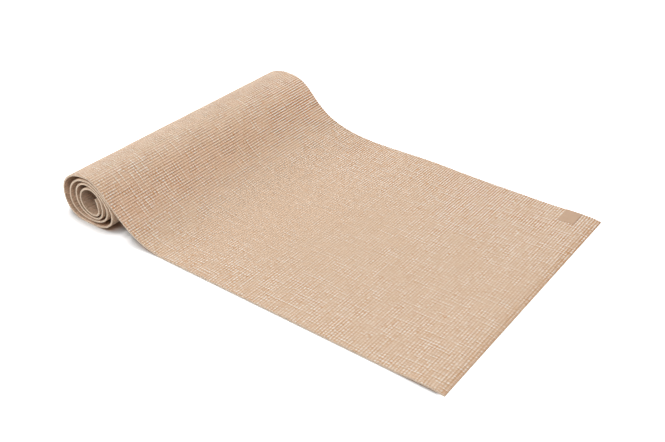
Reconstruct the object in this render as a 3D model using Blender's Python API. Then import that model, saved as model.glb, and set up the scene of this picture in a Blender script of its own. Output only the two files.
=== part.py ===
"""A foam yoga mat, part unrolled, as it lies on a floor.

The mat is one sheet of three bonded layers: a ribbed upper foam, a thin woven scrim that keeps
it from stretching, and a lower foam that grips the floor. A smooth label sits on the upper foam
at one corner. The sheet lies flat from its free end, sweeps up over the top of a loose roll, goes
down the roll's back and under it, and winds on inwards to its other end. The upper foam faces
outwards all the way round.

Units are metres, +Z is up, +X runs along the mat to its free end and +Y along the roll's axis.
The side of the mat at -Y is called near, and the side at +Y far.
"""

import math

import bmesh
import bpy
import numpy as np
from mathutils import Vector
from mathutils.geometry import interpolate_bezier

# The sheet
MAT_LENGTH = 1.830
MAT_WIDTH = 0.610
FOAM_THICKNESS = 0.0015
SCRIM_THICKNESS = 0.0004
LAYER_CLEARANCE = 0.0003
RIB_PITCH = 0.0055
RIB_HEIGHT = 0.0004

# The label, let into the ribs at the far corner of the free end, flush with the far side
LABEL_LENGTH = 0.034
LABEL_WIDTH = 0.047
LABEL_THICKNESS = 0.0005
LABEL_FROM_END = 0.039
LABEL_BELOW_RIBS = 0.0002
CUT_OVERRUN = 0.005

# The roll, measured over its outermost turn
ROLL_DEPTH = 0.136
ROLL_HEIGHT = 0.105
FOOTPRINT = 0.022

# The widest spare room between two turns, on each side of the roll
TOP_SLACK = 0.0046
BACK_SLACK = 0.0140
UNDER_SLACK = 0.0046
FRONT_SLACK = 0.0090

# The sides of the roll, in the order in which the sheet meets them on its way inwards
TOP, BACK, UNDER, FRONT = range(4)

# One row for each turn, from the outermost inwards, with those four sides in it
SLACK_SHARES = (
    (0.00, 0.00, 0.00, 0.00),
    (0.80, 1.00, 1.00, 0.89),
    (0.65, 1.00, 0.70, 1.00),
    (0.75, 0.53, 0.60, 0.78),
    (1.00, 0.50, 0.50, 0.50),
)
# How far along the roll's depth or height each of those points lies
PLACE_SHARES = (
    (0.537, 0.476, 0.493, 0.400),
    (0.551, 0.448, 0.515, 0.448),
    (0.529, 0.524, 0.596, 0.452),
    (0.588, 0.495, 0.588, 0.371),
    (0.588, 0.500, 0.588, 0.450),
)
# How full the quarter turn is that starts at each of them: 0.552 makes a quarter of an ellipse
FULLNESS_SHARES = (
    (0.61, 0.64, 0.60, 0.38),
    (0.60, 0.62, 0.59, 0.46),
    (0.58, 0.60, 0.58, 0.54),
    (0.56, 0.58, 0.56, 0.55),
    (0.55, 0.55, 0.55, 0.55),
)
WOUND_QUARTERS = 16
INNER_END_SHARE = 0.52

# The sweep from the roll's top down to the floor, fuller on the far side
NEAR_SWEEP_REACH = 0.194
FAR_SWEEP_REACH = 0.264
NEAR_SWEEP_SHARES = (0.260, 0.600)
FAR_SWEEP_SHARES = (0.381, 0.805)

# The low arch behind the free end, whose last edge dips back to the floor
ARCH_LENGTH = 0.100
ARCH_HEIGHT = 0.0025
DIP_LENGTH = 0.030
DIP_SLOPE_SHARE = 0.22

# Steps along each curve before the sheet is divided into its ribs
CURVE_STEPS = 48
# Lengths of sheet nearer than this to each other are one turn, not two
SELF_GAP_REACH = 0.030

MAT_THICKNESS = 2 * FOAM_THICKNESS + SCRIM_THICKNESS + 2 * LAYER_CLEARANCE


def clear_scene():
    for old in list(bpy.data.objects):
        bpy.data.objects.remove(old, do_unlink=True)


def finish_material(name, color, roughness):
    """A Principled material, with its colour as linear red, green and blue."""
    material = bpy.data.materials.new(name)
    material.use_nodes = True
    shader = material.node_tree.nodes["Principled BSDF"]
    shader.inputs["Base Color"].default_value = (*color, 1)
    shader.inputs["Roughness"].default_value = roughness
    shader.inputs["Metallic"].default_value = 0
    material.diffuse_color = (*color, 1)
    return material


def turning_points():
    """Where the outer face is level or upright, from the roll's top inwards, as (x, z)."""
    slacks = (TOP_SLACK, BACK_SLACK, UNDER_SLACK, FRONT_SLACK)
    inset = [0] * len(slacks)
    points = []
    for turn, (slack_row, place_row) in enumerate(zip(SLACK_SHARES, PLACE_SHARES)):
        for side in (TOP, BACK, UNDER, FRONT):
            if turn:
                inset[side] += MAT_THICKNESS + slacks[side] * slack_row[side]
            across = place_row[side] * ROLL_DEPTH
            up = place_row[side] * ROLL_HEIGHT
            if side == TOP:
                points.append((across, ROLL_HEIGHT - inset[TOP]))
            elif side == BACK:
                points.append((inset[BACK], up))
            elif side == UNDER:
                points.append((across, inset[UNDER]))
            else:
                points.append((ROLL_DEPTH - inset[FRONT], up))
    return points[: WOUND_QUARTERS + 1]


def in_section(point):
    """A point of the mat's side view as a 3-D point."""
    return Vector((point[0], 0, point[1]))


def curve_points(start, start_handle, end_handle, end):
    """Points along one Bezier curve in the side view, as an array of (x, z)."""
    knots = [in_section(p) for p in (start, start_handle, end_handle, end)]
    drawn = interpolate_bezier(*knots, CURVE_STEPS + 1)
    return np.array([(p.x, p.z) for p in drawn])


def quarter_turn(start, end, starts_level, fullness):
    """A quarter of the winding, which leaves one point level and meets the other upright, or so."""
    across = end[0] - start[0]
    down = end[1] - start[1]
    if starts_level:
        start_handle = (start[0] + fullness * across, start[1])
        end_handle = (end[0], end[1] - fullness * down)
    else:
        start_handle = (start[0], start[1] + fullness * down)
        end_handle = (end[0] - fullness * across, end[1])
    return curve_points(start, start_handle, end_handle, end)


def straight(start, end):
    """As many points on a straight line as a curve has."""
    share = np.linspace(0, 1, CURVE_STEPS + 1)[:, None]
    return np.array(start) * (1 - share) + np.array(end) * share


def joined(*pieces):
    """One run of points from pieces that each start where the one before ends."""
    return np.concatenate([pieces[0], *(piece[1:] for piece in pieces[1:])])


def winding():
    """The outer face of the roll in the side view, from the mat's inner end out to the roll's top."""
    points = turning_points()
    fullness = [share for row in FULLNESS_SHARES for share in row]
    half_foot = FOOTPRINT / 2
    foot_back = (points[UNDER][0] - half_foot, points[UNDER][1])
    foot_front = (points[UNDER][0] + half_foot, points[UNDER][1])
    pieces = []
    for quarter, (start, end) in enumerate(zip(points, points[1:])):
        if quarter == BACK:
            end = foot_back
        if quarter == UNDER:
            start = foot_front
            pieces.append(straight(foot_back, foot_front))
        pieces.append(quarter_turn(start, end, quarter % 2 == 0, fullness[quarter]))
    kept = 1 + round(INNER_END_SHARE * CURVE_STEPS)
    pieces[-1] = pieces[-1][:kept]
    return joined(*pieces)[::-1]


def sweep(reach, shares):
    """The outer face from the roll's top down to the floor, where the sheet lies flat."""
    top = turning_points()[0]
    foot = (top[0] + reach, MAT_THICKNESS)
    top_handle = (top[0] + shares[0] * reach, top[1])
    foot_handle = (foot[0] - shares[1] * reach, foot[1])
    return curve_points(top, top_handle, foot_handle, foot)


def free_end(start):
    """The low arch and the dip of the free end, from where the flat stretch stops."""
    crest = (start[0] + ARCH_LENGTH, start[1] + ARCH_HEIGHT)
    lean = math.atan(DIP_SLOPE_SHARE)
    edge = (crest[0] + DIP_LENGTH, MAT_THICKNESS * math.cos(lean))
    middle = ARCH_LENGTH / 2
    third = DIP_LENGTH / 3
    rise = curve_points(start, (start[0] + middle, start[1]), (crest[0] - middle, crest[1]), crest)
    edge_handle = (edge[0] - third, edge[1] + third * DIP_SLOPE_SHARE)
    fall = curve_points(crest, (crest[0] + third, crest[1]), edge_handle, edge)
    return joined(rise, fall)


def lengths_up_to(points):
    """The length of a run of points up to each of them."""
    return np.concatenate([[0], np.cumsum(np.hypot(*np.diff(points, axis=0).T))])


def normals_of(points):
    """The direction out of the outer face at each point."""
    slope = np.gradient(points, lengths_up_to(points), axis=0)
    slope /= np.linalg.norm(slope, axis=1)[:, None]
    return np.stack([-slope[:, 1], slope[:, 0]], axis=1)


def sheet_lengths(points):
    """The sheet's length up to each point of its outer face, measured halfway through it."""
    return lengths_up_to(points - MAT_THICKNESS / 2 * normals_of(points))


def side_views():
    """The outer face at the near side and at the far side, as two runs of points."""
    wound = winding()
    near_sweep = sweep(NEAR_SWEEP_REACH, NEAR_SWEEP_SHARES)
    far_sweep = sweep(FAR_SWEEP_REACH, FAR_SWEEP_SHARES)
    near_foot = near_sweep[-1]
    used = sheet_lengths(joined(wound, near_sweep, free_end(near_foot)))[-1]
    flat_end = near_foot + np.array((MAT_LENGTH - used, 0))
    end = free_end(flat_end)
    near = joined(wound, near_sweep, straight(near_foot, flat_end), end)
    far = joined(wound, far_sweep, straight(far_sweep[-1], flat_end), end)
    return near, far


class Sheet:
    """The mat's outer face, which can be read at any length from its inner end and any depth.

    Both sides are read at the same share of their own lengths, so that the ribs lie square to
    them also where the far side's sweep is the fuller.
    """

    def __init__(self):
        near, far = side_views()
        self.sides = []
        for points in (near, far):
            along = sheet_lengths(points)
            self.sides.append((points, normals_of(points), along * MAT_LENGTH / along[-1]))
        self.middle = (near[:, 0].min() + near[:, 0].max()) / 2

    def point(self, length, depth, across_share):
        """A point that lies depth under the outer face, from 0 at the near side to 1 at the far."""
        ends = []
        for points, normals, along in self.sides:
            place = [np.interp(length, along, column) for column in points.T]
            out = [np.interp(length, along, column) for column in normals.T]
            size = math.hypot(*out)
            ends.append(np.array(place) - depth * np.array(out) / size)
        x, z = ends[0] * (1 - across_share) + ends[1] * across_share
        return Vector((x - self.middle, (across_share - 1 / 2) * MAT_WIDTH, z))

    def least_gap(self):
        """The least room between two turns, from the inner face of one to the outer of another."""
        least = math.inf
        for points, normals, along in self.sides:
            inner = points - MAT_THICKNESS * normals
            apart = np.abs(along[:, None] - along[None, :]) > SELF_GAP_REACH
            room = np.linalg.norm(inner[:, None] - points[None, :], axis=2)
            least = min(least, room[apart].min())
        return least


def rib_lines(first, last):
    """The lengths at which the sheet is divided, one for each rib crest."""
    count = max(1, round((last - first) / RIB_PITCH))
    return [float(v) for v in np.linspace(first, last, count + 1)]


def layer(sheet, name, depths, spans=(0, MAT_LENGTH), shares=(0, 1), groove=0):
    """A closed slab between two depths of the sheet, which may have grooves in its outer face."""
    outer, inner = depths
    lines = rib_lines(*spans)
    shell = bmesh.new()

    def edge_at(length, depth):
        return [shell.verts.new(sheet.point(length, depth, share)) for share in shares]

    outside = [edge_at(length, outer) for length in lines]
    inside = [edge_at(length, inner) for length in lines]
    for i in range(len(lines) - 1):
        (near_out, far_out), (next_near_out, next_far_out) = outside[i], outside[i + 1]
        (near_in, far_in), (next_near_in, next_far_in) = inside[i], inside[i + 1]
        near_side = [near_out, near_in, next_near_in, next_near_out]
        far_side = [far_out, next_far_out, next_far_in, far_in]
        if groove:
            near_low, far_low = edge_at((lines[i] + lines[i + 1]) / 2, outer + groove)
            shell.faces.new((near_out, near_low, far_low, far_out))
            shell.faces.new((near_low, next_near_out, next_far_out, far_low))
            near_side.append(near_low)
            far_side.insert(1, far_low)
        else:
            shell.faces.new((near_out, next_near_out, next_far_out, far_out))
        shell.faces.new((near_in, far_in, next_far_in, next_near_in))
        shell.faces.new(near_side)
        shell.faces.new(far_side)
    shell.faces.new((outside[0][0], outside[0][1], inside[0][1], inside[0][0]))
    shell.faces.new((outside[-1][1], outside[-1][0], inside[-1][0], inside[-1][1]))
    mesh = bpy.data.meshes.new(name)
    shell.to_mesh(mesh)
    shell.free()
    piece = bpy.data.objects.new(name, mesh)
    bpy.context.collection.objects.link(piece)
    return piece


def make_upper_foam(sheet):
    foam = layer(sheet, "upper_foam", (0, FOAM_THICKNESS), groove=RIB_HEIGHT)
    foam.data.materials.append(finish_material("upper_foam", (0.69, 0.51, 0.37), 0.85))
    return foam


def make_scrim(sheet):
    outer = FOAM_THICKNESS + LAYER_CLEARANCE
    scrim = layer(sheet, "reinforcing_scrim", (outer, outer + SCRIM_THICKNESS))
    scrim.data.materials.append(finish_material("scrim_yarn", (0.72, 0.66, 0.56), 0.9))


def make_lower_foam(sheet):
    foam = layer(sheet, "lower_foam", (MAT_THICKNESS - FOAM_THICKNESS, MAT_THICKNESS))
    foam.data.materials.append(finish_material("lower_foam", (0.66, 0.49, 0.36), 0.85))


def make_label(sheet):
    end = MAT_LENGTH - LABEL_FROM_END
    depths = (LABEL_BELOW_RIBS, LABEL_BELOW_RIBS + LABEL_THICKNESS)
    shares = (1 - LABEL_WIDTH / MAT_WIDTH, 1)
    label = layer(sheet, "corner_label", depths, (end - LABEL_LENGTH, end), shares)
    label.data.materials.append(finish_material("corner_label", (0.58, 0.41, 0.29), 0.6))


def cut_label_seat(sheet, foam):
    """Cuts the pocket for the label, which is open at the mat's far side and above."""
    end = MAT_LENGTH - LABEL_FROM_END + LAYER_CLEARANCE
    start = end - LABEL_LENGTH - 2 * LAYER_CLEARANCE
    floor = LABEL_BELOW_RIBS + LABEL_THICKNESS + LAYER_CLEARANCE
    near_share = 1 - (LABEL_WIDTH + LAYER_CLEARANCE) / MAT_WIDTH
    far_share = 1 + CUT_OVERRUN / MAT_WIDTH
    cutter = layer(sheet, "label_seat", (-CUT_OVERRUN, floor), (start, end), (near_share, far_share))
    cutter.hide_render = True
    cutter.display_type = "WIRE"
    cut = foam.modifiers.new("label_seat", "BOOLEAN")
    cut.object = cutter
    cut.operation = "DIFFERENCE"


def main():
    clear_scene()
    sheet = Sheet()
    upper_foam = make_upper_foam(sheet)
    cut_label_seat(sheet, upper_foam)
    make_label(sheet)
    make_scrim(sheet)
    make_lower_foam(sheet)
    print(f"The mat is {MAT_THICKNESS:.4f} m thick, and its turns lie at least")
    print(f"{sheet.least_gap():.5f} m apart")


main()
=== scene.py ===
# %% [markdown]
# A foam yoga mat, part unrolled.
#
# The real mat is one sheet, 1.83 m by 0.61 m and 4 mm thick, of three bonded layers: a ribbed
# upper foam with a linen-like grain, a scrim of polyester yarn that keeps it from stretching, and
# a lower foam that grips the floor. A smooth label is pressed into the upper foam at one corner.
# Here the sheet lies part unrolled, and nothing on it is rigid or jointed, so the whole likeness
# is in one curved sheet and in its surface. The lesson builds the sheet's side view as curves,
# lays ribs along it with Geometry Nodes, and paints the grain with shader maths.

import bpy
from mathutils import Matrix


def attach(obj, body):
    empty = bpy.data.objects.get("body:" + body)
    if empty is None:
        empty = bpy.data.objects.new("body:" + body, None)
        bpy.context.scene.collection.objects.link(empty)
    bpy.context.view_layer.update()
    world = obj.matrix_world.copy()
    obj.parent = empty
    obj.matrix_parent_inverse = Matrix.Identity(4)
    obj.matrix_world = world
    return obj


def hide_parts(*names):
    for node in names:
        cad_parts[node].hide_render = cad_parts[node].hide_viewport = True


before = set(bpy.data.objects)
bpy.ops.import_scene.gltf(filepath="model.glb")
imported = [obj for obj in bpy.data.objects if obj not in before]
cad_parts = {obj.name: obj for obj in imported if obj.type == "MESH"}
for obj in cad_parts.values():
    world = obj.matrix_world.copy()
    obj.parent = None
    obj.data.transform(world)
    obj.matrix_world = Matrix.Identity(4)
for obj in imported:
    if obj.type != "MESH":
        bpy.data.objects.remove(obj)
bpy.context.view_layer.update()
print("CAD nodes:", ", ".join(sorted(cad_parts)))

# %% Blender's modules
import math
from types import SimpleNamespace

import bpy
import numpy as np
from mathutils import Matrix, Vector
from mathutils.geometry import interpolate_bezier

print("Blender", bpy.app.version_string)

# %% [markdown]
# Sizes.
#
# All lengths are metres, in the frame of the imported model: +Z is up, +X runs along the mat to its
# free end, and +Y along the roll's axis. The side of the mat at -Y is called near and the side at
# +Y far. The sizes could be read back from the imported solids, but named values can be understood
# and changed. They are those of the part's own source, so every layer lies where its solid does.

# %% The sheet's sizes
MAT_LENGTH = 1.830
MAT_WIDTH = 0.610
MAT_THICKNESS = 0.004
SCRIM_THICKNESS = 0.0004
RIB_PITCH = 0.0055
RIB_COUNT = round(MAT_LENGTH / RIB_PITCH)
RIB_HEIGHT = 0.0006

ROLL_DEPTH = 0.136
ROLL_HEIGHT = 0.105
FOOTPRINT = 0.022
SIDE_SLACKS = (0.0046, 0.0140, 0.0046, 0.0090)
WOUND_QUARTERS = 16
INNER_END_SHARE = 0.52

NEAR_SWEEP_REACH = 0.194
FAR_SWEEP_REACH = 0.264
NEAR_SWEEP_SHARES = (0.260, 0.600)
FAR_SWEEP_SHARES = (0.381, 0.805)

ARCH_LENGTH = 0.100
ARCH_HEIGHT = 0.0025
DIP_LENGTH = 0.030
DIP_SLOPE_SHARE = 0.22
CURVE_STEPS = 96
print(f"{RIB_COUNT} ribs across a sheet of {MAT_LENGTH} m by {MAT_WIDTH} m")

# %% [markdown]
# The winding.
#
# A loose roll isn't a tidy spiral: it sags, so its turns lie close together above and below and
# wide apart at the back. It could be simulated, but the turns would then settle anywhere. Here
# each turn is pinned where it is level or upright, at its top, back, underside and front, and a
# quarter of a flattened ellipse joins each of those points to the next. One row of shares sets
# the slack, the place and the fullness for each turn, from the outermost inwards.

# %% Where each turn is level or upright
TOP, BACK, UNDER, FRONT = range(4)
SLACK_SHARES = (
    (0.00, 0.00, 0.00, 0.00),
    (0.80, 1.00, 1.00, 0.89),
    (0.65, 1.00, 0.70, 1.00),
    (0.75, 0.53, 0.60, 0.78),
    (1.00, 0.50, 0.50, 0.50),
)
PLACE_SHARES = (
    (0.537, 0.476, 0.493, 0.400),
    (0.551, 0.448, 0.515, 0.448),
    (0.529, 0.524, 0.596, 0.452),
    (0.588, 0.495, 0.588, 0.371),
    (0.588, 0.500, 0.588, 0.450),
)
FULLNESS_SHARES = (
    (0.61, 0.64, 0.60, 0.38),
    (0.60, 0.62, 0.59, 0.46),
    (0.58, 0.60, 0.58, 0.54),
    (0.56, 0.58, 0.56, 0.55),
    (0.55, 0.55, 0.55, 0.55),
)


def turning_points():
    """Where the outer face is level or upright, from the roll's top inwards, as (x, z)."""
    inset = [0] * len(SIDE_SLACKS)
    points = []
    for turn, (slack_row, place_row) in enumerate(zip(SLACK_SHARES, PLACE_SHARES)):
        for side, slack in enumerate(SIDE_SLACKS):
            if turn:
                inset[side] += MAT_THICKNESS + slack * slack_row[side]
        across = [share * ROLL_DEPTH for share in place_row]
        up = [share * ROLL_HEIGHT for share in place_row]
        points.append((across[TOP], ROLL_HEIGHT - inset[TOP]))
        points.append((inset[BACK], up[BACK]))
        points.append((across[UNDER], inset[UNDER]))
        points.append((ROLL_DEPTH - inset[FRONT], up[FRONT]))
    return points[: WOUND_QUARTERS + 1]


print(f"The roll is pinned at {len(turning_points())} points")

# %% [markdown]
# The side view.
#
# From the roll's top the sheet comes down in one sweep to the floor, lies flat, and lifts into a
# low arch before its free end dips back. Each bent stretch is a Bezier curve that is level where
# it meets the next, so there is no kink. A long list of points could be traced instead, but then
# no size could be changed. The sweep is longer on the far side, as the mat was unrolled a little
# askew. The flat stretch takes whatever the other stretches leave of the 1.83 m.

# %% Curves in the side view
def curve_points(*knots):
    """Points along one Bezier curve in the side view, as an array of (x, z)."""
    drawn = interpolate_bezier(*[Vector((x, 0, z)) for x, z in knots], CURVE_STEPS + 1)
    return np.array([(p.x, p.z) for p in drawn])


def quarter_turn(start, end, starts_level, fullness):
    """A quarter of the winding, which leaves one point level and meets the other upright, or so."""
    across = end[0] - start[0]
    down = end[1] - start[1]
    if starts_level:
        handles = (start[0] + fullness * across, start[1]), (end[0], end[1] - fullness * down)
    else:
        handles = (start[0], start[1] + fullness * down), (end[0] - fullness * across, end[1])
    return curve_points(start, *handles, end)


def straight(start, end):
    """As many points on a straight line as a curve has."""
    share = np.linspace(0, 1, CURVE_STEPS + 1)[:, None]
    return np.array(start) * (1 - share) + np.array(end) * share


def joined(*pieces):
    """One run of points from pieces that each start where the one before ends."""
    return np.concatenate([pieces[0], *(piece[1:] for piece in pieces[1:])])


print(f"A curve has {CURVE_STEPS + 1} points")

# %% The roll, the sweep and the free end
def winding():
    """The outer face of the roll, from the mat's inner end out to the roll's top."""
    points = turning_points()
    fullness = [share for row in FULLNESS_SHARES for share in row]
    foot_back = (points[UNDER][0] - FOOTPRINT / 2, points[UNDER][1])
    foot_front = (points[UNDER][0] + FOOTPRINT / 2, points[UNDER][1])
    pieces = []
    for quarter, (start, end) in enumerate(zip(points, points[1:])):
        if quarter == BACK:
            end = foot_back
        if quarter == UNDER:
            start = foot_front
            pieces.append(straight(foot_back, foot_front))
        pieces.append(quarter_turn(start, end, quarter % 2 == 0, fullness[quarter]))
    pieces[-1] = pieces[-1][: 1 + round(INNER_END_SHARE * CURVE_STEPS)]
    return joined(*pieces)[::-1]


def sweep(reach, shares):
    """The outer face from the roll's top down to the floor."""
    top = turning_points()[0]
    foot = (top[0] + reach, MAT_THICKNESS)
    top_handle = (top[0] + shares[0] * reach, top[1])
    foot_handle = (foot[0] - shares[1] * reach, foot[1])
    return curve_points(top, top_handle, foot_handle, foot)


def free_end(start):
    """The low arch and the dip of the free end."""
    crest = (start[0] + ARCH_LENGTH, start[1] + ARCH_HEIGHT)
    edge = (crest[0] + DIP_LENGTH, MAT_THICKNESS * math.cos(math.atan(DIP_SLOPE_SHARE)))
    middle = ARCH_LENGTH / 2
    third = DIP_LENGTH / 3
    rise = curve_points(start, (start[0] + middle, start[1]), (crest[0] - middle, crest[1]), crest)
    edge_handle = (edge[0] - third, edge[1] + third * DIP_SLOPE_SHARE)
    fall = curve_points(crest, (crest[0] + third, crest[1]), edge_handle, edge)
    return joined(rise, fall)


print(f"The roll's outer face has {len(winding())} points")

# %% [markdown]
# The line that keeps its length.
#
# When a thick sheet bends, its outer face stretches and its inner face shortens, and only the
# line halfway between them keeps its length. So the 1.83 m are counted along that line. It could
# be drawn beside each curve by hand, but a step at right angles from the outer face finds it
# everywhere, however tight the turn.

# %% The middle of the sheet's thickness
def lengths_up_to(points):
    """The length of a run of points up to each of them."""
    return np.concatenate([[0], np.cumsum(np.hypot(*np.diff(points, axis=0).T))])


def middle_of(points):
    """The line halfway through the sheet, under an outer face."""
    slope = np.gradient(points, lengths_up_to(points), axis=0)
    slope /= np.linalg.norm(slope, axis=1)[:, None]
    return points - MAT_THICKNESS / 2 * np.stack([-slope[:, 1], slope[:, 0]], axis=1)


def side_views():
    """The outer face at the near side and at the far side, with x from the middle of the mat."""
    wound = winding()
    near_sweep = sweep(NEAR_SWEEP_REACH, NEAR_SWEEP_SHARES)
    far_sweep = sweep(FAR_SWEEP_REACH, FAR_SWEEP_SHARES)
    near_foot = near_sweep[-1]
    used = lengths_up_to(middle_of(joined(wound, near_sweep, free_end(near_foot))))[-1]
    flat_end = near_foot + np.array((MAT_LENGTH - used, 0))
    end = free_end(flat_end)
    near = joined(wound, near_sweep, straight(near_foot, flat_end), end)
    far = joined(wound, far_sweep, straight(far_sweep[-1], flat_end), end)
    middle = np.array(((near[:, 0].min() + near[:, 0].max()) / 2, 0))
    return near - middle, far - middle


NEAR_VIEW, FAR_VIEW = side_views()
for side, view in (("near", NEAR_VIEW), ("far", FAR_VIEW)):
    print(f"{side} side: {lengths_up_to(middle_of(view))[-1]:.4f} m through the middle")

# %% [markdown]
# Guides.
#
# The two side views become two curve objects, at the near and the far edge of the mat. They run
# halfway through its thickness, because that line keeps its length when the sheet bends. A layer
# of the mat then reads both curves at the same share of their length, so a rib stays square to
# the edges. The layers could be built from the points directly, but curves can be looked at and
# bent by hand in Blender. The guides are tools, and are removed once the layers are made.

# %% Guide curves
def guide(name, view, y):
    """A curve object through the middle of the sheet at one edge."""
    line = bpy.data.curves.new(name, "CURVE")
    line.dimensions = "3D"
    run = line.splines.new("POLY")
    points = middle_of(view)
    run.points.add(len(points) - 1)
    for point, (x, z) in zip(run.points, points):
        point.co = (x, y, z, 1)
    made = bpy.data.objects.new(name, line)
    bpy.context.scene.collection.objects.link(made)
    return made


NEAR_GUIDE = guide("near_guide", NEAR_VIEW, -MAT_WIDTH / 2)
FAR_GUIDE = guide("far_guide", FAR_VIEW, MAT_WIDTH / 2)
print(f"Guides of {len(NEAR_VIEW)} points")

# %% [markdown]
# Writing nodes as arithmetic.
#
# Both the ribs and the paint are formulas, and a formula is easier to read as an expression than
# as a heap of Math nodes. Wire wraps one output of a node, and arithmetic on it adds the Math
# nodes. Board makes every other node, with its settings first and then its sockets.

# %% A wire
class Wire:
    """One output in a node tree. Arithmetic on it adds Math nodes."""

    def __init__(self, board, socket):
        self.board = board
        self.socket = socket

    def output(self, name):
        """Another output of the same node."""
        return Wire(self.board, self.socket.node.outputs[name])

    def __add__(self, other):
        return self.board.math("ADD", self, other)

    def __radd__(self, other):
        return self.board.math("ADD", other, self)

    def __sub__(self, other):
        return self.board.math("SUBTRACT", self, other)

    def __rsub__(self, other):
        return self.board.math("SUBTRACT", other, self)

    def __mul__(self, other):
        return self.board.math("MULTIPLY", self, other)

    def __rmul__(self, other):
        return self.board.math("MULTIPLY", other, self)

    def __truediv__(self, other):
        return self.board.math("DIVIDE", self, other)

    def __rtruediv__(self, other):
        return self.board.math("DIVIDE", other, self)

    def __pow__(self, other):
        return self.board.math("POWER", self, other)

    def __abs__(self):
        return self.board.math("ABSOLUTE", self)

    def __floor__(self):
        return self.board.math("FLOOR", self)


print("Wire is ready")

# %% A board
class Board:
    """A node tree that is being built."""

    def __init__(self, tree):
        self.tree = tree

    def node(self, kind, settings=(), sockets=()):
        """Adds a node: its settings, then the values or wires of its sockets."""
        made = self.tree.nodes.new(kind)
        for name, value in dict(settings).items():
            if name == "stops":
                self.set_stops(made.color_ramp, value)
            else:
                setattr(made, name, value)
        for name, value in dict(sockets).items():
            usable = [s for s in made.inputs if s.enabled]
            by_number = isinstance(name, int)
            socket = usable[name] if by_number else next(s for s in usable if s.name == name)
            if isinstance(value, Wire):
                self.tree.links.new(value.socket, socket)
            else:
                socket.default_value = value
        shown = [s for s in made.outputs if s.enabled]
        return Wire(self, shown[0]) if shown else made

    def set_stops(self, ramp, stops):
        """The stops of a colour ramp, as (place, colour)."""
        while len(ramp.elements) < len(stops):
            ramp.elements.new(1)
        for element, (place, color) in zip(ramp.elements, stops):
            element.position = place
            element.color = (*color, 1)

    def math(self, operation, *values):
        """A Math node on numbers."""
        return self.node("ShaderNodeMath", {"operation": operation}, enumerate(values))

    def vector_math(self, operation, sockets):
        """A Vector Math node, whose sockets are given by number or name."""
        return self.node("ShaderNodeVectorMath", {"operation": operation}, sockets)

    def smooth(self, value, low, high):
        """0 below low and 1 above high, with a soft step between them."""
        sockets = {"Value": value, "From Min": low, "From Max": high}
        return self.node("ShaderNodeMapRange", {"interpolation_type": "SMOOTHSTEP"}, sockets)

    def hump(self, value, middle, reach):
        """1 at the middle, and softly down to 0 at that reach on either side."""
        return 1 - self.smooth(abs(value - middle), 0, reach)

    def vector(self, x=0, y=0, z=0):
        """A vector from three numbers."""
        return self.node("ShaderNodeCombineXYZ", (), {"X": x, "Y": y, "Z": z})

    def parts(self, vector):
        """The three numbers of a vector."""
        split = self.node("ShaderNodeSeparateXYZ", (), {"Vector": vector})
        return [split.output(axis) for axis in "XYZ"]

    def noise(self, vector, detail=0, roughness=0.5):
        """Soft noise from 0 to 1, one grain to each unit of the vector."""
        sockets = {"Vector": vector, "Scale": 1, "Detail": detail, "Roughness": roughness}
        return self.node("ShaderNodeTexNoise", (), sockets)

    def blend(self, share, first, second):
        """One colour that turns into another."""
        settings = {"data_type": "RGBA", "blend_type": "MIX"}
        return self.node("ShaderNodeMix", settings, {"Factor": share, "A": first, "B": second})


print("Board is ready")

# %% [markdown]
# A layer of the mat.
#
# Each layer is a slab whose two faces lie at fixed depths under the mat's outer face. It could be
# a profile swept along a path, but then the ribs, which run across the sheet, would need a second
# pass. Here Geometry Nodes start from a finely divided box. Its X becomes the length along the
# guides, its Y the width, and its Z the outer or the inner face, and the ribs are part of the same
# formula. Each size is a named input of the tree, so the layers share their nodes.

# %% The layer's inputs
LAYER_INPUTS = (
    ("Near guide", "NodeSocketObject"),
    ("Far guide", "NodeSocketObject"),
    ("Start", "NodeSocketFloat"),
    ("End", "NodeSocketFloat"),
    ("Outer depth", "NodeSocketFloat"),
    ("Inner depth", "NodeSocketFloat"),
    ("Stations", "NodeSocketInt"),
    ("Columns", "NodeSocketInt"),
    ("Rib height", "NodeSocketFloat"),
    ("Edge rounding", "NodeSocketFloat"),
    ("Seat depth", "NodeSocketFloat"),
    ("Seed", "NodeSocketFloat"),
    ("Face", "NodeSocketMaterial"),
    ("Cut edge", "NodeSocketMaterial"),
)
print(f"A layer takes {len(LAYER_INPUTS)} inputs")

# %% [markdown]
# Where the columns stand.
#
# A box has its columns at equal steps, but this sheet needs a few at exact places: beside its cut
# edges, which are rounded, and along the rim of the pocket that the label sits in. More columns
# everywhere would do it too, at the cost of many triangles. Here the width is set out in bands,
# each with its own number of columns, and every band stretches its share of the box to its width.

# %% Columns in bands
LABEL_WIDTH = 0.047
SEAT_RIM = 0.0012
EDGE_RIM = 0.0012
UPPER_BANDS = (
    (1, EDGE_RIM),
    (27, MAT_WIDTH - LABEL_WIDTH - SEAT_RIM - EDGE_RIM),
    (1, SEAT_RIM),
    (3, LABEL_WIDTH - EDGE_RIM),
    (1, EDGE_RIM),
)
PLAIN_BANDS = ((14, MAT_WIDTH),)
LABEL_BANDS = ((0, MAT_WIDTH - LABEL_WIDTH), (12, LABEL_WIDTH))


def columns_in(bands):
    """How many columns the bands have together."""
    return sum(columns for columns, _ in bands)


def across_in_bands(board, share, bands):
    """Metres across the sheet, from bands that are each (columns, width)."""
    total = columns_in(bands)
    across = 0
    first = 0
    for columns, width in bands:
        if not columns:
            # A band without columns only moves the next one over.
            across = across + width
            continue
        sockets = {
            "Value": share,
            "From Min": first / total,
            "From Max": (first + columns) / total,
            "To Max": width,
        }
        across = across + board.node("ShaderNodeMapRange", {"clamp": True}, sockets)
        first += columns
    return across


print(f"The ribbed foam has {columns_in(UPPER_BANDS)} columns, a plain layer {columns_in(PLAIN_BANDS)}")

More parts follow.
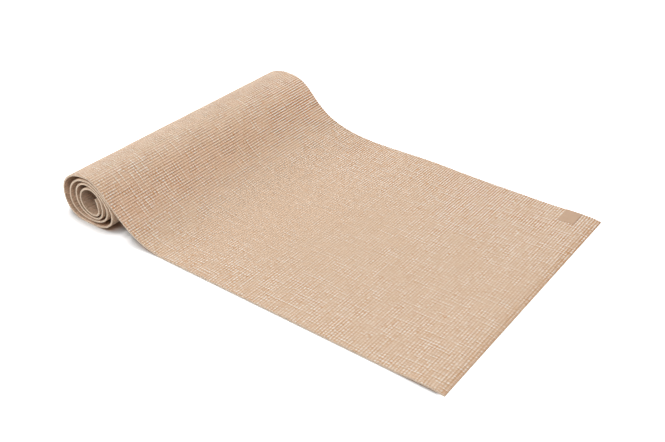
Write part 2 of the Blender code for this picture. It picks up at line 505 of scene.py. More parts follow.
# %% [markdown]
# Following the guides.
#
# Any point of the sheet is found from two numbers, its length along the mat and its share of the
# width. Sample Curve reads the place and the direction of both guides at that length, and the
# share mixes the two, so the sheet runs straight from side to side, as it does over a roll. One
# place is different. Behind the fuller sweep the far side stands a little off the floor, as foam
# does after a long time in a roll, and a soft hump adds that ripple.

# %% The middle of the sheet, at any length and width
RIPPLE_HEIGHT = 0.0024
RIPPLE_HUMP = (1.44, 0.13)
RIPPLE_POWER = 4


def sampled(board, guide_wire, factor):
    """A guide's place and direction at a share of its length."""
    settings = {"transform_space": "RELATIVE"}
    info = board.node("GeometryNodeObjectInfo", settings, {"Object": guide_wire})
    sockets = {"Curves": info.output("Geometry"), "Factor": factor}
    read = board.node("GeometryNodeSampleCurve", {"mode": "FACTOR"}, sockets)
    return read.output("Position"), read.output("Tangent")


def between(board, share, first, second):
    """A vector between two others."""
    settings = {"data_type": "VECTOR", "clamp_factor": False}
    return board.node("ShaderNodeMix", settings, {"Factor": share, "A": first, "B": second})


def ripple(board, along, width_share):
    """How far the far side stands off the floor behind its fuller sweep."""
    return RIPPLE_HEIGHT * board.hump(along, *RIPPLE_HUMP) * width_share**RIPPLE_POWER


print(f"The far side ripples up by {RIPPLE_HEIGHT} m")

# %% [markdown]
# The ribs.
#
# On the real mat the ribs are pressed into the soft foam, one every 5.5 mm, each with a round
# crest and a narrow groove. A displacement picture could raise them, but at that size it needs a
# mesh several times finer. Here a power of a sine gives the round crest with four stations to a
# rib, and soft noise lowers each rib in places, as the pressing isn't even. The same formula
# rounds the cut edges a little and sinks the pocket for the label.

# %% Ribs, rounded edges and the label's pocket
RIB_STEP = MAT_LENGTH / RIB_COUNT
RIB_ROUNDNESS = 0.6
STEADY_SHARE = 0.40
PRESSED_SPAN = (0.3, 0.7)
PRESSED_LENGTH = 0.030
PRESSED_ROW_STEP = 3.7
LABEL_LENGTH = 0.034
LABEL_FROM_END = 0.039
LABEL_END = MAT_LENGTH - LABEL_FROM_END


def under_full_rib(board, given, across, along):
    """How deep the ribbed face lies under the crest of a full rib."""
    rib = along / RIB_STEP
    number = math.floor(rib)
    crest = abs(board.math("SINE", (rib - number) * math.pi)) ** RIB_ROUNDNESS
    place = board.vector(across / PRESSED_LENGTH, number * PRESSED_ROW_STEP, given["Seed"])
    strength = STEADY_SHARE + (1 - STEADY_SHARE) * board.smooth(board.noise(place), *PRESSED_SPAN)
    return given["Rib height"] * (1 - crest * strength)


def over_pocket(board, across, along):
    """1 over the pocket that holds the label, and 0 elsewhere."""
    past_start = board.math("GREATER_THAN", along, LABEL_END - LABEL_LENGTH - SEAT_RIM)
    before_end = board.math("LESS_THAN", along, LABEL_END + SEAT_RIM)
    past_side = board.math("GREATER_THAN", across, MAT_WIDTH - LABEL_WIDTH - SEAT_RIM / 2)
    return past_start * before_end * past_side


def outer_depth(board, given, across, along):
    """How deep a layer's outer face lies under the mat's own."""
    to_side = board.math("MINIMUM", across, MAT_WIDTH - across)
    rounded = given["Edge rounding"] * (1 - board.smooth(to_side, 0, EDGE_RIM))
    pocket = over_pocket(board, across, along)
    ribbed = (under_full_rib(board, given, across, along) + rounded) * (1 - pocket)
    relief = ribbed + given["Seat depth"] * pocket
    return given["Outer depth"] + relief


print(f"Ribs of {RIB_STEP:.5f} m, and a pocket {LABEL_FROM_END} m from the free end")

# %% [markdown]
# The tree of a layer.
#
# Each point of the box is first measured as a place on the flat sheet, then put on the middle
# line and moved outwards by what its depth asks for. Its flat place is stored as the attribute
# plan: metres across, metres along, and 1 on the outer face or 0 on the inner. The finished mesh
# could be unwrapped to get the same, but a formula has it exactly. The paint reads plan later, so
# its patterns bend with the sheet. The last nodes give the cut edges their own material, because
# cut foam shows its open cells.

# %% The box, measured as a flat sheet
BOX_SIZE = (1, 1, 1)
HALF_BOX = 0.5


def flat_box(board, given, bands):
    """A layer before it is bent, as (geometry, metres across, metres along, level)."""
    counts = {"Vertices X": given["Stations"], "Vertices Y": given["Columns"], "Vertices Z": 2}
    box = board.node("GeometryNodeMeshCube", (), {"Size": BOX_SIZE, **counts})
    x, y, z = board.parts(board.node("GeometryNodeInputPosition"))
    level = z + HALF_BOX
    along = given["Start"] + (x + HALF_BOX) * (given["End"] - given["Start"])
    across = across_in_bands(board, y + HALF_BOX, bands)
    keep = {"Geometry": box, "Name": "plan", "Value": board.vector(across, along, level)}
    settings = {"data_type": "FLOAT_VECTOR", "domain": "POINT"}
    return board.node("GeometryNodeStoreNamedAttribute", settings, keep), across, along, level


print("The box becomes a flat sheet with a plan")

# %% Bending the sheet
ACROSS_THE_MAT = (0, 1, 0)


def bent(board, given, flat, across, along, level):
    """The layer laid along the guides."""
    length_share = along / MAT_LENGTH
    width_share = across / MAT_WIDTH
    near_place, near_way = sampled(board, given["Near guide"], length_share)
    far_place, far_way = sampled(board, given["Far guide"], length_share)
    place = between(board, width_share, near_place, far_place)
    way = between(board, width_share, near_way, far_way)
    outward = board.vector_math("CROSS_PRODUCT", {0: way, 1: ACROSS_THE_MAT})
    outward = board.vector_math("NORMALIZE", {0: outward})
    outer = outer_depth(board, given, across, along)
    depth = given["Inner depth"] * (1 - level) + outer * level
    offset = board.vector_math("SCALE", {0: outward, "Scale": MAT_THICKNESS / 2 - depth})
    lift = board.vector(z=ripple(board, along, width_share))
    offset = board.vector_math("ADD", {0: offset, 1: lift})
    sockets = {"Geometry": flat, "Position": place, "Offset": offset}
    return board.node("GeometryNodeSetPosition", (), sockets)


print("The flat sheet is laid along the guides")

# %% Face and cut edge
MIDDLE_LEVEL = 0.5
LEVEL_MARGIN = 0.25


def with_materials(board, given, shaped):
    """The layer with the material of its face, and another on its cut edges."""
    realized = board.node("GeometryNodeRealizeInstances", (), {"Geometry": shaped})
    sockets = {"Geometry": realized, "Material": given["Face"]}
    faced = board.node("GeometryNodeSetMaterial", (), sockets)
    settings = {"data_type": "FLOAT_VECTOR"}
    plan = board.node("GeometryNodeInputNamedAttribute", settings, {"Name": "plan"})
    _, _, level = board.parts(plan)
    at_edge = board.math("LESS_THAN", abs(level - MIDDLE_LEVEL), LEVEL_MARGIN)
    sockets = {"Geometry": faced, "Selection": at_edge, "Material": given["Cut edge"]}
    return board.node("GeometryNodeSetMaterial", (), sockets)


print(f"A cut edge lies within {LEVEL_MARGIN} of level {MIDDLE_LEVEL}")

# %% The layer's tree
def layer_tree(name, bands):
    """Geometry Nodes for one layer, with its columns set out in these bands."""
    tree = bpy.data.node_groups.new(name, "GeometryNodeTree")
    tree.interface.new_socket(name="Geometry", in_out="OUTPUT", socket_type="NodeSocketGeometry")
    for label, kind in LAYER_INPUTS:
        tree.interface.new_socket(name=label, in_out="INPUT", socket_type=kind)
    board = Board(tree)
    entry = board.node("NodeGroupInput")
    given = {label: entry.output(label) for label, _ in LAYER_INPUTS}
    shaped = bent(board, given, *flat_box(board, given, bands))
    board.node("NodeGroupOutput", (), {"Geometry": with_materials(board, given, shaped)})
    print(f"{name}: {len(tree.nodes)} nodes")
    return tree


ribbed_tree = layer_tree("ribbed_layer", UPPER_BANDS)
plain_tree = layer_tree("plain_layer", PLAIN_BANDS)
label_tree = layer_tree("label_layer", LABEL_BANDS)

# %% [markdown]
# From tree to mesh.
#
# A tree works on an empty piece as a modifier, which takes each size by its socket's identifier,
# as a socket's name is only a caption. The modifier could stay live, but other programs read
# plain meshes. So the evaluated result becomes the piece's own mesh, and the modifier is removed.
# Smooth shading stops at corners sharper than 50 degrees, where the mat was cut.

# %% Making a piece
SHARP_ANGLE = math.radians(50)


def made_by(tree, name, sizes):
    """A piece whose mesh is what a tree makes with these sizes."""
    piece = bpy.data.objects.new(name, bpy.data.meshes.new(name))
    bpy.context.scene.collection.objects.link(piece)
    maker = piece.modifiers.new("layer", "NODES")
    maker.node_group = tree
    for item in tree.interface.items_tree:
        if item.in_out == "INPUT" and item.name in sizes:
            maker[item.identifier] = sizes[item.name]
    seen = piece.evaluated_get(bpy.context.evaluated_depsgraph_get())
    mesh = bpy.data.meshes.new_from_object(seen)
    piece.modifiers.remove(maker)
    piece.data = mesh
    mesh.name = name
    mesh.shade_smooth()
    mesh.set_sharp_from_angle(angle=SHARP_ANGLE)
    triangles = sum(len(p.vertices) - 2 for p in mesh.polygons)
    print(f"{name}: {triangles} triangles, {[round(d, 4) for d in piece.dimensions]} m")
    return piece


# %% [markdown]
# The three layers.
#
# The real mat is foam on both sides of a scrim, bonded into one sheet and then cut to size. It
# could be one slab with its edge painted in three bands, but then the layers couldn't be told
# apart or given materials of their own. Here the scrim lies halfway down and each foam fills the
# rest, so the faces touch and no light comes through between them. Only the upper foam's ribs are
# high enough to be shaped in the mesh.

# %% Foam, scrim and foam
STATIONS_TO_A_RIB = 4
SCRIM_OUTER = (MAT_THICKNESS - SCRIM_THICKNESS) / 2
SCRIM_INNER = SCRIM_OUTER + SCRIM_THICKNESS
LABEL_THICKNESS = 0.0005
LABEL_BELOW_RIBS = 0.0002
LABEL_SEAT_DEPTH = LABEL_BELOW_RIBS + LABEL_THICKNESS
EDGE_ROUNDING = 0.0003
RIB_SEED = 4.0
MATERIALS = {
    name: bpy.data.materials.new(name)
    for name in ("ribbed_foam", "foam_cut", "scrim_yarn", "grip_foam", "label_face")
}

whole_sheet = {
    "Near guide": NEAR_GUIDE,
    "Far guide": FAR_GUIDE,
    "Start": 0.0,
    "End": MAT_LENGTH,
    "Stations": RIB_COUNT * STATIONS_TO_A_RIB + 1,
}
upper_sizes = {
    **whole_sheet,
    "Outer depth": 0.0,
    "Inner depth": SCRIM_OUTER,
    "Columns": columns_in(UPPER_BANDS) + 1,
    "Rib height": RIB_HEIGHT,
    "Edge rounding": EDGE_ROUNDING,
    "Seat depth": LABEL_SEAT_DEPTH,
    "Seed": RIB_SEED,
    "Face": MATERIALS["ribbed_foam"],
    "Cut edge": MATERIALS["foam_cut"],
}
scrim_sizes = {
    **whole_sheet,
    "Outer depth": SCRIM_OUTER,
    "Inner depth": SCRIM_INNER,
    "Columns": columns_in(PLAIN_BANDS) + 1,
    "Face": MATERIALS["scrim_yarn"],
    "Cut edge": MATERIALS["scrim_yarn"],
}
lower_sizes = {
    **whole_sheet,
    "Outer depth": SCRIM_INNER,
    "Inner depth": MAT_THICKNESS,
    "Columns": columns_in(PLAIN_BANDS) + 1,
    "Face": MATERIALS["grip_foam"],
    "Cut edge": MATERIALS["foam_cut"],
}
upper_foam = made_by(ribbed_tree, "ribbed_upper_foam", upper_sizes)
scrim = made_by(plain_tree, "scrim_of_yarn", scrim_sizes)
lower_foam = made_by(plain_tree, "grip_lower_foam", lower_sizes)

# %% [markdown]
# A flat map of each layer.
#
# When the paint is stored as a picture for use elsewhere, the picture needs a flat map of the
# piece. Automatic unwrapping would cut the roll up into scraps. But a sheet unrolls, so its map
# is the sheet itself, cut at half its length, with the two halves side by side. Each rib then
# gets six pixels of a 1024 pixel picture. The face that is against another layer and the cut
# edges need few pixels, and go in narrow strips at one side.

# %% Laying the sheet flat
MAP_NAME = "OFBake"
MAP_LOW = 0.004
MAP_HIGH = 0.996
MAP_HALVES = ((0.004, 0.465), (0.480, 0.465))
MAP_HIDDEN = (0.950, 0.010)
MAP_SIDES = (0.964, 0.018)
MAP_ENDS = (0.986, 0.010)


def map_spot(strip, share, up):
    """A place on the map: in this (start, width) strip at this share of it, and so far up."""
    start, width = strip
    return start + width * share, MAP_LOW + (MAP_HIGH - MAP_LOW) * up


def on_the_map(corners, seen_level):
    """Where a face's corners go, from metres across, metres along and level of each."""
    _, alongs, levels = zip(*corners)
    level = sum(levels) / len(levels)
    if abs(level - seen_level) < LEVEL_MARGIN:
        half = int(sum(alongs) / len(alongs) > MAT_LENGTH / 2)
        strip = MAP_HALVES[half]
        return [map_spot(strip, x / MAT_WIDTH, 2 * y / MAT_LENGTH - half) for x, y, _ in corners]
    if abs(level - MIDDLE_LEVEL) > LEVEL_MARGIN:
        return [map_spot(MAP_HIDDEN, x / MAT_WIDTH, y / MAT_LENGTH) for x, y, _ in corners]
    if max(alongs) > min(alongs):
        return [map_spot(MAP_SIDES, (z + x / MAT_WIDTH) / 2, y / MAT_LENGTH) for x, y, z in corners]
    return [map_spot(MAP_ENDS, z, (x / MAT_WIDTH + y / MAT_LENGTH) / 2) for x, y, z in corners]


def lay_flat(piece, seen_level):
    """Gives a layer its map. The level seen is 1 for its outer face and 0 for its inner."""
    mesh = piece.data
    plan = [point.vector[:] for point in mesh.attributes["plan"].data]
    places = mesh.uv_layers.new(name=MAP_NAME).uv
    for face in mesh.polygons:
        spots = on_the_map([plan[corner] for corner in face.vertices], seen_level)
        for loop, spot in zip(face.loop_indices, spots):
            places[loop].vector = spot
    print(f"{piece.name}: map of {len(places)} corners")


lay_flat(upper_foam, 1)
lay_flat(scrim, 1)
lay_flat(lower_foam, 0)

# %% [markdown]
# The label.
#
# The real label is a smooth patch that was pressed into the ribs while the foam was warm, so it
# lies a little lower than their crests and ends flush with the mat's far side. It could be a flat
# plate, but the sheet arches under it. So the same nodes make it, between its own two lengths,
# and it bends with the sheet. It stays bare.

# %% The pressed label
LABEL_STATIONS = 13
label_sizes = {
    **whole_sheet,
    "Start": LABEL_END - LABEL_LENGTH,
    "End": LABEL_END,
    "Stations": LABEL_STATIONS,
    "Columns": columns_in(LABEL_BANDS) + 1,
    "Outer depth": LABEL_BELOW_RIBS,
    "Inner depth": LABEL_SEAT_DEPTH,
    "Face": MATERIALS["label_face"],
    "Cut edge": MATERIALS["label_face"],
}
label = made_by(label_tree, "pressed_label", label_sizes)
for tool in (NEAR_GUIDE, FAR_GUIDE):
    bpy.data.objects.remove(tool, do_unlink=True)

# %% [markdown]
# Paint.
#
# The upper foam is embossed like linen: a rib every 5.5 mm that is broken into beads, threads and
# slubs that run lengthwise, and fine specks. A picture of linen could be wrapped on, but it would
# repeat and bring its own light along. Formulas have no seam, and their sizes are those of the
# real grain. All of them read the attribute plan, and each finish ends in a colour, a roughness and
# a bump.

# %% A material's board
LOW_SHINE = 0.25


def paint_board(name):
    """A material that takes paint, as (board, shader)."""
    material = MATERIALS[name]
    material.use_nodes = True
    board = Board(material.node_tree)
    return board, material.node_tree.nodes["Principled BSDF"]


def sheet_place(board):
    """Metres across and along the flat sheet."""
    plan = board.node("ShaderNodeAttribute", {"attribute_name": "plan"})
    across, along, _ = board.parts(plan.output("Vector"))
    return across, along


def finish(board, shader, color, roughness, height, distance):
    """Joins a colour, a roughness and a bump to the shader."""
    board.tree.links.new(color.socket, shader.inputs["Base Color"])
    board.tree.links.new(roughness.socket, shader.inputs["Roughness"])
    sockets = {"Strength": 1, "Distance": distance, "Height": height}
    bump = board.node("ShaderNodeBump", (), sockets)
    board.tree.links.new(bump.socket, shader.inputs["Normal"])
    shader.inputs["Specular IOR Level"].default_value = LOW_SHINE


print("Materials to paint:", ", ".join(MATERIALS))

# %% [markdown]
# Slices of one noise.
#
# Beads, threads and clouds all look random, and each has to be random in its own way. Blender's
# Noise Texture has no seed, so its third coordinate serves as one, and every pattern reads its own
# slice of the noise. In a pattern of rows, each row reads its slice a fixed step further on, so
# that it isn't like the row beside it. The slices could be drawn at random too, but written down
# they stay the same each time the script runs.

# %% Slices and steps
NOISE_SLICES = {
    "rib sway": 0,
    "rib fading": 1.7,
    "patches": 7.1,
    "beads": 2.9,
    "dash drift": 4.6,
    "thread sway": 6.2,
    "thread shift": 5.5,
    "threads": 4.4,
    "slubs": 8.3,
    "streaks": 5.1,
    "specks": 3.3,
    "clouds": 9.9,
    "grip dashes": 5.7,
    "grip grain": 8.8,
    "label grain": 6.6,
    "label clouds": 1.1,
}
ROW_STEPS = {
    "rib fading": 5.3,
    "beads": 7.7,
    "dash drift": 3.1,
    "thread shift": 6.37,
    "threads": 4.13,
    "slubs": 9.71,
    "grip dashes": 5.3,
}


def pattern_noise(board, pattern, x, y, detail=0, roughness=0.5):
    """Noise from 0 to 1 out of the slice that belongs to a pattern."""
    return board.noise(board.vector(x, y, NOISE_SLICES[pattern]), detail, roughness)


def row_place(number, pattern):
    """Where in its slice the row of this number reads."""
    return number * ROW_STEPS[pattern]


print(f"{len(NOISE_SLICES)} patterns have a slice of the noise")

# %% [markdown]
# The grain across the mat.
#
# Seen close, each rib is a row of small beads, like a thick yarn in a weave, and in places it
# fades. Lines at equal steps would look ruled, so the ribs sway a little. A rib's phase runs from
# 0 to 1 between one groove and the next. A light hump on the crest's side towards the lamps and a
# dark one on the slope beyond it paint the crest and the groove, partly as the foam's own paler
# crest and deeper groove and partly as painted highlight and painted shade. Noise drawn along the
# rib breaks it into beads, and a slow sine adds dashes.

# %% Ribs and their beads
RIB_WOBBLE = 0.30
RIB_SWAY_SIZE = (0.11, 0.2)
# Light hump on the crest's side towards the lamps, dark hump on the slope beyond: partly the foam's
# paler crest and deeper groove, partly painted highlight and painted shade.
CREST_HIGHLIGHT_HUMP = (0.38, 0.30)
SHADED_SLOPE_HUMP = (0.84, 0.30)
FADE_LENGTH = 0.030
PATCH_SIZE = 0.036
FADE_WEIGHT = 0.5
PATCH_WEIGHT = 0.5
STRENGTH_SPAN = (0.38, 0.66)
BEAD_LENGTH = 0.0034
BEAD_SHARE = 0.70
DASH_PITCH = 0.0058
DASH_DRIFT = 0.030
DASH_SWING = 5
DASH_SHARE = 0.11


def rib_pattern(board, across, along):
    """The ribs of the grain, as (wave, beads, strength). The wave is 1 on a crest's side towards the
    lamps and -1 on the slope beyond it, where the paint puts painted highlight and painted shade.
    """
    sway_place = across / RIB_SWAY_SIZE[0], along / RIB_SWAY_SIZE[1]
    sway = pattern_noise(board, "rib sway", *sway_place) - 0.5
    rib = along / RIB_STEP + RIB_WOBBLE * sway
    number = math.floor(rib)
    phase = rib - number
    wave = board.hump(phase, *CREST_HIGHLIGHT_HUMP) - board.hump(phase, *SHADED_SLOPE_HUMP)
    row = row_place(number, "rib fading")
    steady = pattern_noise(board, "rib fading", across / FADE_LENGTH, row, 1)
    patch = pattern_noise(board, "patches", across / PATCH_SIZE, along / PATCH_SIZE, 1)
    strength = board.smooth(FADE_WEIGHT * steady + PATCH_WEIGHT * patch, *STRENGTH_SPAN)
    row = row_place(number, "beads")
    beads = pattern_noise(board, "beads", across / BEAD_LENGTH, row, 1) - 0.5
    row = row_place(number, "dash drift")
    drift = pattern_noise(board, "dash drift", across / DASH_DRIFT, row)
    dash = board.math("SINE", math.tau * (across / DASH_PITCH + DASH_SWING * drift))
    return wave, BEAD_SHARE * beads + DASH_SHARE * dash, strength


print(f"Beads of {BEAD_LENGTH} m along ribs of {RIB_STEP:.5f} m")

# %% [markdown]
# The grain along the mat.
#
# The linen look also needs its other direction. Fine threads run lengthwise for a few
# centimetres and stop, each with a shadow at one side, and short thick slubs lie on them. They
# could be drawn one by one as curves, thousands of them. As rows with a phase, like the ribs, they
# take a few lines, and noise along each row says where its thread is there.

# %% Threads and slubs
THREAD_PITCH = 0.0068
THREAD_LENGTH = 0.045
THREAD_WOBBLE = 1.2
THREAD_SWAY_SIZE = (0.15, 0.12)
THREAD_SHIFT = 0.5
THREAD_SHIFT_PLACE = 1.2
THREAD_HUMP = (0.60, 0.30)
SHADOW_HUMP = (0.22, 0.20)
SHADOW_SHARE = 0.8
THREAD_SPAN = (0.52, 0.66)
SLUB_LENGTH = 0.011


def thread_pattern(board, across, along):
    """Threads that run along the mat, as (thread, slub): 1 on a thread, -1 in its shadow."""
    sway_place = across / THREAD_SWAY_SIZE[0], along / THREAD_SWAY_SIZE[1]
    sway = pattern_noise(board, "thread sway", *sway_place) - 0.5
    line = across / THREAD_PITCH + THREAD_WOBBLE * sway
    number = math.floor(line)
    row = row_place(number, "thread shift")
    shift = pattern_noise(board, "thread shift", row, THREAD_SHIFT_PLACE) - 0.5
    phase = line - number - THREAD_SHIFT * shift
    profile = board.hump(phase, *THREAD_HUMP) - SHADOW_SHARE * board.hump(phase, *SHADOW_HUMP)
    row = row_place(number, "threads")
    there = pattern_noise(board, "threads", row, along / THREAD_LENGTH, 1)
    row = row_place(number, "slubs")
    slub = pattern_noise(board, "slubs", row, along / SLUB_LENGTH) - 0.5
    return board.smooth(there, *THREAD_SPAN) * profile, slub * profile


print(f"Threads {THREAD_PITCH} m apart, about {THREAD_LENGTH} m long")

# %% [markdown]
# Every pattern together.
#
# Three more patterns finish the linen: short streaks along the ribs, specks as fine as the skin
# of the foam, and wide faint clouds, because no dye is quite even. A function that hands back all
# of them by name keeps the paint below readable. A dictionary would do as well.

# %% The whole grain
STREAK_LENGTH = 0.030
STREAKS_TO_A_RIB = 1.7
SPECK_SIZE = 0.0016
CLOUD_SIZE = 0.100
FINE_DETAIL = 2


def linen_grain(board, across, along):
    """Every pattern of the upper face, by name."""
    wave, beads, strength = rib_pattern(board, across, along)
    thread, slub = thread_pattern(board, across, along)
    streak_place = across / STREAK_LENGTH, along / RIB_STEP * STREAKS_TO_A_RIB
    speck_place = across / SPECK_SIZE, along / SPECK_SIZE
    cloud_place = across / CLOUD_SIZE, along / CLOUD_SIZE
    return SimpleNamespace(
        wave=wave,
        beads=beads,
        strength=strength,
        thread=thread,
        slub=slub,
        streak=pattern_noise(board, "streaks", *streak_place) - 0.5,
        speck=pattern_noise(board, "specks", *speck_place, FINE_DETAIL) - 0.5,
        cloud=pattern_noise(board, "clouds", *cloud_place, FINE_DETAIL) - 0.5,
    )


print(f"Specks of {SPECK_SIZE} m and clouds of {CLOUD_SIZE} m")

# %% [markdown]
# Where the grain is strong and where it is calm.
#
# A mat never looks the same all over. Where it bends over the roll its ribs open and catch the
# light, along its far side they stand out, and its middle is calm. Each such place is a zone, a
# number from 0 to 1 that rises and falls softly over the flat sheet. Some zones only place painted
# light and shade: a painted highlight on top of the roll, painted shade and painted light on its
# flank, and painted shade where the free end dips. The zones could be brushed on by hand as
# weights. As formulas, each takes one line and stays soft at any size. A span is where a soft
# step starts and ends, and a hump is its middle and its reach, all in metres from the mat's inner
# end or from its near side.

# %% Zones of the sheet
BEND_SPAN = (1.12, 1.30)
END_SPAN = (1.56, 1.70)
FAR_SPAN = (0.35, 0.60)
FAR_START_SPAN = (0.94, 1.04)
FAR_AT_END = -0.50
CALM_RISE_SPAN = (1.12, 1.23)
CALM_FALL_SPAN = (1.44, 1.60)
CALM_SIDE_SPAN = (0.04, 0.17)
# The strip where the free end dips away from the light, which gets painted shade.
DIP_SHADE_WIDTH = 0.022
DIP_SHADE_SPAN = (MAT_LENGTH - DIP_SHADE_WIDTH, MAT_LENGTH)
MIDDLE_HUMP = (0.26, 0.17)
PLAIN_SPAN = (0.96, 1.01)
PLAIN_SHARE = 0.4
# Where the paint puts a painted highlight on top of the roll, and painted shade and painted light on
# its flank.
CROWN_HUMP = (0.97, 0.10)
SHADE_HUMP = (1.105, 0.10)
LIT_HUMP = (1.085, 0.19)


def zones_of(board, across, along):
    """Soft masks over the flat sheet, by name."""
    end = board.smooth(along, *END_SPAN)
    far = board.smooth(across, *FAR_SPAN) * board.smooth(along, *FAR_START_SPAN)
    calm = board.smooth(along, *CALM_RISE_SPAN) * (1 - board.smooth(along, *CALM_FALL_SPAN))
    return SimpleNamespace(
        bend=1 - board.smooth(along, *BEND_SPAN),
        end=end,
        far=far * (1 + FAR_AT_END * end),
        calm=calm * board.smooth(across, *CALM_SIDE_SPAN),
        dip_shade=board.smooth(along, *DIP_SHADE_SPAN),
        middle=board.hump(across, *MIDDLE_HUMP),
        ribbed=PLAIN_SHARE + (1 - PLAIN_SHARE) * board.smooth(along, *PLAIN_SPAN),
        crown=board.hump(along, *CROWN_HUMP),
        shade=board.hump(along, *SHADE_HUMP),
        lit=board.hump(along, *LIT_HUMP),
    )


print(f"The far side's zone starts {FAR_SPAN[0]} m from the near side")

# %% [markdown]
# The tone.
#
# The foam is dyed one colour, but its crests look paler and its grooves deeper and redder, partly
# as their own colour and partly as painted highlight and painted shade. So one number, the tone,
# says where a point stands between groove, foam and crest, and every pattern adds its share to
# it. The patterns could each bring a colour of their own, but then they would hide one another
# where they cross. Shares add up as threads do in cloth.

# %% Shares of the tone
RIB_SHARE = 0.21
RIB_PATCHY = 0.47
RIB_BEADED = 3
RIB_FAR = 2.25
RIB_END = -0.20
BEADED = 2.2
BEAD_BASE = 0.50
BEAD_PATCHY = 0.75
BEAD_BEND = 0.45
STREAKED = 0.35
THREADED = 0.98
THREAD_BEND = 0.35
THREAD_FAR = 0.5
SLUBBED = 1.15
THREAD_BASE = 0.65
THREAD_ON_CREST = 0.35
SPECKLED = 0.45
REST_FAR = 1.2
REST_FAR_BEND = -0.65
SIDE_GAIN = 1.02
MIDDLE_GAIN = -0.21
BEND_TONE = -0.22
CALM_TONE = -0.36
CLOUDED = 0.10
# Painted shade where the free end dips: the tone is pushed towards the groove.
DIP_SHADE_TONE = -0.24


def rib_tone(grain, zones):
    """What the ribs add to the tone."""
    ribs = grain.wave * (RIB_SHARE + RIB_PATCHY * grain.strength) * (1 + RIB_BEADED * grain.beads)
    return ribs * (1 + RIB_FAR * zones.far) * (1 + RIB_END * zones.end)


def rest_tone(grain, zones):
    """What beads, streaks, threads, slubs and specks add to the tone."""
    beads = (1 + BEAD_BEND * zones.bend) * BEADED * grain.beads
    beads = beads * (BEAD_BASE + BEAD_PATCHY * grain.strength)
    threads = (1 + THREAD_BEND * zones.bend) * THREADED * (1 + THREAD_FAR * zones.far) * grain.thread
    threads = (threads + SLUBBED * grain.slub) * (THREAD_BASE + THREAD_ON_CREST * grain.wave)
    rest = beads + STREAKED * grain.streak + threads + SPECKLED * grain.speck
    return rest * (1 + REST_FAR * zones.far * (1 + REST_FAR_BEND * zones.bend))


def face_tone(grain, zones):
    """How far a point is from the foam's own colour, to -1 in a groove and to 1 on a crest."""
    tone = rib_tone(grain, zones) + rest_tone(grain, zones)
    tone = tone * (SIDE_GAIN + MIDDLE_GAIN * zones.middle)
    tone = zones.ribbed * (1 + BEND_TONE * zones.bend) * (1 + CALM_TONE * zones.calm) * tone
    # The dip at the free end gets painted shade, a tone towards the groove.
    return tone + CLOUDED * grain.cloud + DIP_SHADE_TONE * zones.dip_shade


print("The tone adds up ribs, beads, streaks, threads, slubs, specks and clouds")

# %% [markdown]
# The colour and the relief of the ribbed face.
#
# A ramp turns the tone into colour, from groove through foam to crest. Colour, relief and gloss
# all come from the same ribs, so the light and the paint agree on where a rib is. The mesh
# already has the ribs' true height, and the bump adds what is finer than its stations. Over the
# roll a Hue Saturation node paints light and shade: painted shade deepens the colour on the flank,
# painted light makes the flank and the sweep lighter, more so towards the far side, and a painted
# highlight pales the top of the roll. It does that more evenly than a second ramp would.

# %% Colour of the ribbed face
# The groove's and the crest's colours hold the foam's own deeper groove and paler crest, and also
# painted shade and painted highlight.
GROOVE_AND_SHADE = (0.525, 0.270, 0.125)
FOAM = (0.682, 0.493, 0.349)
CREST_AND_HIGHLIGHT = (0.860, 0.785, 0.700)
# Painted shade on the roll's flank: a warmer, deeper colour.
SHADE_HUE = -0.006
SHADE_COLOR = 0.09
# Painted highlight on top of the roll: a paler, lighter colour.
CROWN_HIGHLIGHT_PALING = -0.12
CROWN_PAINTED_HIGHLIGHT = 0.06
# Painted light on the flank and the sweep, stronger towards the far side.
LIT_VALUE = 0.14
LIT_VALUE_ACROSS = 0.22


def face_color(board, grain, zones, across):
    """The ribbed face's colour."""
    stops = ((0, GROOVE_AND_SHADE), (0.5, FOAM), (1, CREST_AND_HIGHLIGHT))
    ramp_place = 0.5 + 0.5 * face_tone(grain, zones)
    color = board.node("ShaderNodeValToRGB", {"stops": stops}, {0: ramp_place})
    # Painted light, stronger towards the far side.
    lit = (LIT_VALUE + LIT_VALUE_ACROSS * across) * zones.lit
    # Painted shade deepens the flank's colour, and a painted highlight pales and lightens the top of
    # the roll.
    turned = {
        "Hue": 0.5 + SHADE_HUE * zones.shade,
        "Saturation": 1 + SHADE_COLOR * zones.shade + CROWN_HIGHLIGHT_PALING * zones.crown,
        "Value": 1 + CROWN_PAINTED_HIGHLIGHT * zones.crown + lit,
        "Color": color,
    }
    return board.node("ShaderNodeHueSaturation", (), turned)


print("The ramp runs from groove through foam to crest")

# %% Relief of the ribbed face
BEND_HEIGHT = 3.0
BEND_HEIGHT_NEAR = 0.78
BEND_HEIGHT_ACROSS = 0.75
BEND_HEIGHT_BASE = 0.8
BEND_HEIGHT_PATCHY = 0.5
RIB_RELIEF = 0.7
BEAD_RELIEF = 1.5
THREAD_RELIEF = 0.7
SPECK_RELIEF = 0.3
FACE_ROUGHNESS = 0.86
CREST_POLISH = 0.04
FACE_BUMP = 0.0003


def face_relief(grain, zones, across):
    """The height that the bump reads."""
    deeper = BEND_HEIGHT * zones.bend * (BEND_HEIGHT_NEAR + BEND_HEIGHT_ACROSS * across)
    deeper = deeper * (BEND_HEIGHT_BASE + BEND_HEIGHT_PATCHY * grain.strength)
    ribs = (1 + deeper) * grain.wave * (RIB_RELIEF + BEAD_RELIEF * grain.beads)
    return zones.ribbed * (ribs + THREAD_RELIEF * grain.thread + SPECK_RELIEF * grain.speck)


def paint_ribbed_foam():
    """The upper foam's outer face."""
    board, shader = paint_board("ribbed_foam")
    across, along = sheet_place(board)
    grain = linen_grain(board, across, along)
    zones = zones_of(board, across, along)
    color = face_color(board, grain, zones, across)
    roughness = FACE_ROUGHNESS - CREST_POLISH * grain.wave
    relief = face_relief(grain, zones, across)
    finish(board, shader, color, roughness, relief, FACE_BUMP)
    print(f"Ribbed foam: {len(board.tree.nodes)} nodes")


paint_ribbed_foam()

